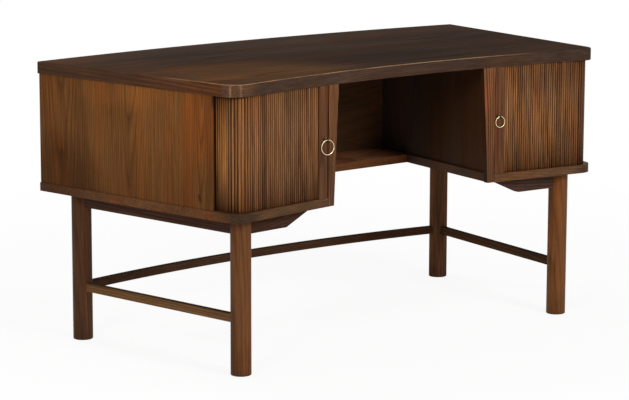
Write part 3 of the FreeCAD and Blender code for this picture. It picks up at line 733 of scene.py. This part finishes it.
class DESK_OT_cupboards(bpy.types.Operator):
    """Finishes the panels, stiles and boards of both cupboards"""
    bl_idname = "desk.cupboards"
    bl_label = "Finish the cupboards"

    def execute(self, context):
        wood = context.scene.desk_wood
        for side, sign in SIDES.items():
            self.panels(side, sign, wood)
            self.stile(side, sign, wood)
            # Painted shade: the boards' front faces are painted darker and cooler, and their faces
            # toward the kneehole much darker; the boards also darken towards the back and at the
            # front corner.
            marks = (facing(Y, -1, (0.66, 0.88, 1.3)),
                     facing(X, -sign, (0.45, 0.58, 0.9)),
                     fade(Y, -0.05, 0.25, (0.58, 0.60, 0.66)),
                     patch((0.62 * sign, -0.36, 0.42), (0.06, 0.06, 0.06), (0.5, 0.55, 0.6)))
            dress(oak("oak_board_" + side, ALONG, "board", ring_width=0.006, figure=0.18,
                      satin=wood.panel_roughness, marks=marks),
                  side + "_bottom_board", side + "_bottom_board_lipping")
        dress(oak("oak_modesty", ALONG, "modesty", heart=(-0.1, 0.45),
                  ring_width=wood.ring_width, figure=0.12, streaks=0.3,
                  satin=wood.panel_roughness, gloss=0.03), "modesty_panel")
        # Painted light: the ledge's upward faces are painted much lighter and bluer.
        lit = facing(Z, 1, (2.4, 3.0, 4.4))
        dress(oak("oak_ledge", ALONG, "ledge", heart=(0.1, 0.0), ring_width=0.006,
                  satin=wood.panel_roughness, marks=(lit,)), "bridge_board")
        return {"FINISHED"}

    def panels(self, side, sign, wood):
        """The end panel, the curved back and the kneehole's side."""
        front_glow = patch((0.66 * sign, -0.29, 0.69), (0.2, 0.1, 0.17), (1.25, 1.0, 0.82))
        top_glow = patch((0.70 * sign, 0.03, 0.72), (0.3, 0.2, 0.06), (1.3, 1.2, 1.1))
        back_foot = patch((0.73 * sign, 0.25, 0.45), (0.2, 0.2, 0.16), (0.7, 0.68, 0.65))
        knot = patch((0.657 * sign, -0.273, 0.473), (0.06, 0.013, 0.015), (0.5, 0.45, 0.45))
        # A painted shadow: the dark gap where the tambour passes behind the end panel's front
        # edge.
        slot = patch((0.638 * sign, -0.2990, 0.58), (0.0100, 0.03, 1.0),
                     (0.12, 0.10, 0.09), False)
        foot = fade(Z, 0.60, 0.44, (0.82, 0.80, 0.80))
        far_end = fade(Y, 0.05, 0.33, (0.85, 0.88, 0.95))
        dress(oak("oak_end_panel_" + side, UPRIGHT, "panel", heart=(0.004, -0.62 * sign),
                  ring_width=0.006, tilt=2.2, leaf=0.266, figure=0.24,
                  satin=wood.panel_roughness, gloss=0.03,
                  marks=(front_glow, top_glow, back_foot, knot, slot, foot, far_end)),
              side + "_end_panel")
        dress(oak("oak_cupboard_back_" + side, UPRIGHT, "panel", heart=(0.45, 0.5 * sign),
                  ring_width=wood.ring_width, satin=wood.panel_roughness),
              side + "_cupboard_back")
        # Painted shade and light on the kneehole's sides: darker and cooler towards the front,
        # much lighter and bluer towards the back.
        front = fade(Y, -0.28, -0.12, (0.68, 0.78, 0.95))
        back = fade(Y, -0.05, 0.15, (1.4, 1.8, 3.0))
        dress(oak("oak_kneehole_" + side, UPRIGHT, "kneehole", heart=(0.05, -0.25 * sign),
                  ring_width=wood.ring_width, figure=0.15, streaks=0.3,
                  satin=wood.panel_roughness, gloss=0.03, marks=(front, back)),
              side + "_kneehole_panel")

    def stile(self, side, sign, wood):
        """The tapered stile beside the kneehole, and the tambour's lead rail."""
        pale = (1.3, 1.02, 1.0) if sign > 0 else (0.98, 0.95, 0.85)
        inner_edge = patch((0.275 * sign, -0.32, 0.66), (0.016, 0.2, 0.06), pale)
        shaded = facing(X, -sign, (0.3, 0.28, 0.26))
        foot = fade(Z, 0.66, 0.50, (0.76, 0.82, 0.90))
        # A painted shadow: a dark line on the stile beside the lead rail.
        gap = patch((0.2996 * sign, -0.335, 0.58), (0.0032, 0.03, 0.5),
                    (0.22, 0.20, 0.18), False)
        nicks = (patch((0.2866 * sign, -0.331, 0.680), (0.003, 0.01, 0.006),
                       (2.2, 2.4, 2.4), False),
                 patch((0.2858 * sign, -0.331, 0.524), (0.003, 0.01, 0.008),
                       (2.0, 2.2, 2.2), False))
        dress(oak("oak_stile_" + side, UPRIGHT, "stile", heart=(-0.345, -0.280 * sign),
                  ring_width=0.0045, figure=0.7, satin=wood.panel_roughness,
                  marks=(inner_edge, shaded, foot, gap, *nicks)), side + "_stile")
        dress(oak("oak_lead_rail_" + side, UPRIGHT, side + "_lead_rail",
                  heart=(-0.40, -0.30 * sign), ring_width=0.005,
                  satin=wood.panel_roughness), side + "_lead_rail")


class DESK_OT_inside(bpy.types.Operator):
    """Finishes the shelves, blocks and fittings that don't show from the front"""
    bl_idname = "desk.inside"
    bl_label = "Finish the inside"

    def execute(self, context):
        pulls = context.scene.desk_pulls
        dull = {"ring_width": 0.006, "satin": 0.6}
        dress(oak("oak_inside", ALONG, "inside", heart=(0.1, 0.5), **dull),
              "bookcase_shelf", "top_blocks", *sided("cupboard_shelf"))
        dress(oak("oak_liner", UPRIGHT, "inside", heart=(0.1, 0.0), **dull),
              *sided("pocket_liner"))
        dress(brass("brass", pulls.dull, pulls.bright), "shelf_pins")
        dress(steel(), "base_screws", "top_block_screws")
        dress(linen(), *sided("tambour_side_canvas"))
        return {"FINISHED"}


class DESK_OT_tambours(bpy.types.Operator):
    """Makes the reeded slats of both tambours, and the linen behind the straight ones"""
    bl_idname = "desk.tambours"
    bl_label = "Make the tambours"

    def execute(self, context):
        settings = context.scene.desk_tambour
        finish = self.slat_finish()
        for side, sign in SIDES.items():
            seed = SLAT_SEEDS[side]
            front = slat_run(side + "_front_slats", 0, FRONT_SLATS, sign, settings, seed)
            corner = slat_run(side + "_corner_slats", FRONT_SLATS, CORNER_SLATS, sign,
                              settings, seed + 1, CORNER_WIDENING)
            pocket = slat_run(side + "_pocket_slats", FRONT_SLATS + CORNER_SLATS,
                              POCKET_SLATS, sign, settings, seed + 2)
            sheet = canvas_sheet(side + "_front_linen", sign, settings)
            for piece, node in ((front, "tambour_front_slats"),
                                (corner, "tambour_corner_slats"),
                                (pocket, "tambour_pocket_slats"),
                                (sheet, "tambour_front_canvas")):
                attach(piece, "root")
                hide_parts(side + "_" + node)
                piece.data.materials.append(
                    bpy.data.materials["linen"] if piece is sheet else finish)
            for piece in (front, sheet):
                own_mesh(piece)
        return {"FINISHED"}

    def slat_finish(self):
        """The slats' oak: dark at the foot, golden on the corners, with a painted shadow in the
        slot beside each end panel and a painted glint down one corner slat.
        """
        foot = fade(Z, 0.51, 0.434, (0.72, 0.70, 0.74))
        outer = fade(X, 0.43, 0.60, (0.66, 0.64, 0.68))
        upper = patch((0.47, -0.36, 0.69), (0.10, 0.2, 0.06), (0.76, 0.82, 0.98))
        golden = [patch((0.634 * sign, -0.325, 0.60), (0.04, 0.026, 0.13),
                        (1.65, 1.70, 1.40), False) for sign in SIDES.values()]
        # Painted shadows: the dark gap beside each end panel's front edge.
        slots = [patch((0.6385 * sign, -0.2985, 0.58), (0.02, 0.0085, 1.0),
                       (0.14, 0.11, 0.10), False) for sign in SIDES.values()]
        # A painted highlight: a thin glint down one corner slat.
        corner_glint = patch((-0.6268, -0.3583, 0.56), (0.0024, 0.0024, 0.2), (1.7, 1.8, 1.9), False)
        return oak("oak_slats", UPRIGHT, "slats", heart=(0, 0.3), ring_width=0.006,
                   gloss=0.05, warmth=0.6, own_grain=True,
                   marks=(foot, outer, upper, *golden, *slots, corner_glint))


class DESK_OT_base(bpy.types.Operator):
    """Makes the round legs, and finishes the aprons and stretchers"""
    bl_idname = "desk.base"
    bl_label = "Make the base"

    def execute(self, context):
        places = {node: self.leg(node) for node in sided("front_leg", "back_leg")}
        # Painted shade: the upward faces of the aprons and stretchers are painted darker.
        painted_shade_above = facing(Z, 1, (0.55,) * 3)
        matt = {"ring_width": 0.006, "gloss": 0.0, "coat": 0.02, "marks": (painted_shade_above,)}
        apron = {"heart": (0.2, 0.0), "figure": 0.25, **matt}
        stretcher = {"heart": (0.2, -0.3), **matt}
        dress(oak("oak_aprons", ALONG, "apron", **apron), "back_apron", *sided("front_apron"))
        dress(oak("oak_back_stretcher", ALONG, "back_stretcher", **stretcher),
              "back_stretcher")
        for side in SIDES:
            reach = places[side + "_back_leg"] - places[side + "_front_leg"]
            way = (reach.x, reach.y, 0)
            dress(oak("oak_side_apron_" + side, way, "apron", **apron), side + "_side_apron")
            dress(oak("oak_side_stretcher_" + side, way, side + "_stretcher", **stretcher),
                  side + "_side_stretcher")
        return {"FINISHED"}

    def leg(self, node):
        """A turned leg with a small bevel at the foot, in its node's place. Returns its middle."""
        low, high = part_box(node)
        middle = (low + high) / 2
        radius, bevel, band = (high.x - low.x) / 2, 0.0015, 0.01
        profile = [(radius - bevel, low.z), (radius, low.z + bevel), (radius, low.z + band),
                   (radius, high.z - band), (radius, high.z)]
        leg = new_piece(node + "_round", *lathe(profile, middle))
        marks = [fade(Z, 0.1, 0.0, (0.72, 0.72, 0.74))]
        # Painted shade: the left sides of these two legs are painted darker.
        left_side_shade = {"left_back_leg": (0.74, 0.80, 0.85), "right_front_leg": (0.86, 0.89, 0.91)}
        if node in left_side_shade:
            marks.append(facing(X, -1, left_side_shade[node]))
        gloss = {"right_back_leg": {"gloss": 0.0, "coat": 0.02}}
        leg.data.materials.append(
            oak("oak_" + node, UPRIGHT, node, heart=(middle.y, -middle.x - 0.02),
                ring_width=0.006, tilt=1.2, figure=0.2, marks=marks,
                **gloss.get(node, {"gloss": 0.05})))
        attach(leg, "root")
        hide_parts(node)
        mark_flat_ends(leg)
        return middle


class DESK_OT_pulls(bpy.types.Operator):
    """Makes the brass ring pulls and finishes their staples"""
    bl_idname = "desk.pulls"
    bl_label = "Make the ring pulls"

    def execute(self, context):
        wire = context.scene.desk_pulls.wire
        finish = bpy.data.materials["brass"]
        dress(brass("brass_dark", linear(52, 40, 24), linear(120, 98, 60)),
              *sided("ring_staple"))
        for side in SIDES:
            hinge = joints[side + "_ring_swing"]
            low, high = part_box(side + "_ring_pull")
            way = np.array(hinge["axis"])
            normal = np.cross(way, UPRIGHT)
            radius = (high.z - low.z - wire) / 2
            centre = np.array(hinge["pos_m"]) - (0, 0, radius)
            piece = new_piece(side + "_ring", *ring(centre, radius, wire, way, normal))
            piece.data.materials.append(finish)
            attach(piece, side + "_ring")
            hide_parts(side + "_ring_pull")
        return {"FINISHED"}


class DESK_OT_stage(bpy.types.Operator):
    """Sets up the floor, the lamps and the camera"""
    bl_idname = "desk.stage"
    bl_label = "Set the stage"

    def execute(self, context):
        settings = context.scene.desk_stage
        half_width, drop = 14.0, 0.0005
        corners = np.array([[-1, -1], [1, -1], [1, 1], [-1, 1]]) * half_width
        floor = new_piece("floor", np.column_stack([corners, np.full(4, -drop)]),
                          [[0, 1, 2, 3]], smooth=False)
        floor.data.materials.append(self.floor_finish())
        self.world(context.scene, settings.sky)
        self.lamp("key", (0.2, -5.4, 2.9), 1.5, settings.key_power)
        self.lamp("fill", (-4.6, -2.4, 2.4), 1.3, settings.fill_power)
        self.lamp("back", (-1.0, 5.2, 3.0), 2.0, settings.back_power)
        self.camera(context.scene, settings)
        context.scene.view_settings.view_transform = "Standard"
        return {"FINISHED"}

    def camera(self, scene, settings):
        camera = bpy.data.cameras.new("camera")
        camera.sensor_width = 36.0
        camera.sensor_fit = "HORIZONTAL"
        camera.lens = settings.lens
        camera.clip_end = 100.0
        stand = bpy.data.objects.new("camera", camera)
        scene.collection.objects.link(stand)
        stand.location = settings.camera_place
        turn = Euler((math.pi / 2 + settings.tilt, 0, -settings.heading)).to_quaternion()
        stand.rotation_mode = "QUATERNION"
        stand.rotation_quaternion = turn @ Quaternion(UPRIGHT, settings.roll)
        scene.camera = stand

    def floor_finish(self):
        """A pale floor that looks white to the camera, and takes a faint shadow near the desk."""
        s = Shader("pale_floor")
        s.finish(Base_Color=(0.98, 0.98, 0.98), Roughness=0.9)
        glow = s.node("Emission", Strength=1.0)
        near, far, white_near = 0.9, 2.6, 0.885
        white = s.spread(s.vector("LENGTH", s.place), near, far, white_near, 1.0)
        share = s.maths("MULTIPLY", s.background_rays(), white)
        s.join(s.blended(share, s.base.outputs[0], glow.outputs[0]), s.out.inputs[0])
        return s.material

    def world(self, scene, strength):
        """Even, slightly warm light from all round, in front of a white background."""
        world = bpy.data.worlds.new("studio")
        world.use_nodes = True
        s = Nodes(world.node_tree)
        light = s.node("Background", Color=(1.0, 0.98, 0.96, 1.0), Strength=strength)
        white = s.node("Background", Color=(1.0, 1.0, 1.0, 1.0), Strength=1.0)
        both = s.blended(s.background_rays(), light.outputs[0], white.outputs[0])
        s.join(both, s.node("OutputWorld").inputs[0])
        scene.world = world

    def lamp(self, name, place, size, power):
        """A square soft light that faces the middle of the desk."""
        light = bpy.data.lights.new(name, "AREA")
        light.size = size
        light.energy = power
        lamp = bpy.data.objects.new(name, light)
        bpy.context.scene.collection.objects.link(lamp)
        lamp.location = place
        desk_middle = Vector((0, 0, 0.45))
        aim = desk_middle - lamp.location
        lamp.rotation_mode = "QUATERNION"
        lamp.rotation_quaternion = aim.to_track_quat("-Z", "Y")


GROUPS = {"desk_wood": DeskWood, "desk_tambour": DeskTambour, "desk_pulls": DeskPulls,
          "desk_stage": DeskStage}
STEPS = (DESK_OT_top, DESK_OT_cupboards, DESK_OT_inside, DESK_OT_tambours, DESK_OT_base,
         DESK_OT_pulls, DESK_OT_stage)


class DESK_PT_panel(bpy.types.Panel):
    """The desk's steps and settings"""
    bl_label = "Tambour desk"
    bl_idname = "DESK_PT_panel"
    bl_space_type = "VIEW_3D"
    bl_region_type = "UI"
    bl_category = "Desk"

    def draw(self, context):
        for step in STEPS:
            self.layout.operator(step.bl_idname)
        for name in GROUPS:
            box = self.layout.box()
            settings = getattr(context.scene, name)
            for key in settings.bl_rna.properties.keys():
                if key not in ("rna_type", "name"):
                    box.prop(settings, key)


def register():
    for kind in (*GROUPS.values(), *STEPS, DESK_PT_panel):
        bpy.utils.register_class(kind)
    for name, kind in GROUPS.items():
        setattr(bpy.types.Scene, name, bpy.props.PointerProperty(type=kind))


def unregister():
    for name in GROUPS:
        delattr(bpy.types.Scene, name)
    for kind in (DESK_PT_panel, *reversed(STEPS), *GROUPS.values()):
        bpy.utils.unregister_class(kind)


def main():
    register()
    for step in STEPS:
        group, name = step.bl_idname.split(".")
        getattr(getattr(bpy.ops, group), name)()


if __name__ == "__main__":
    main()
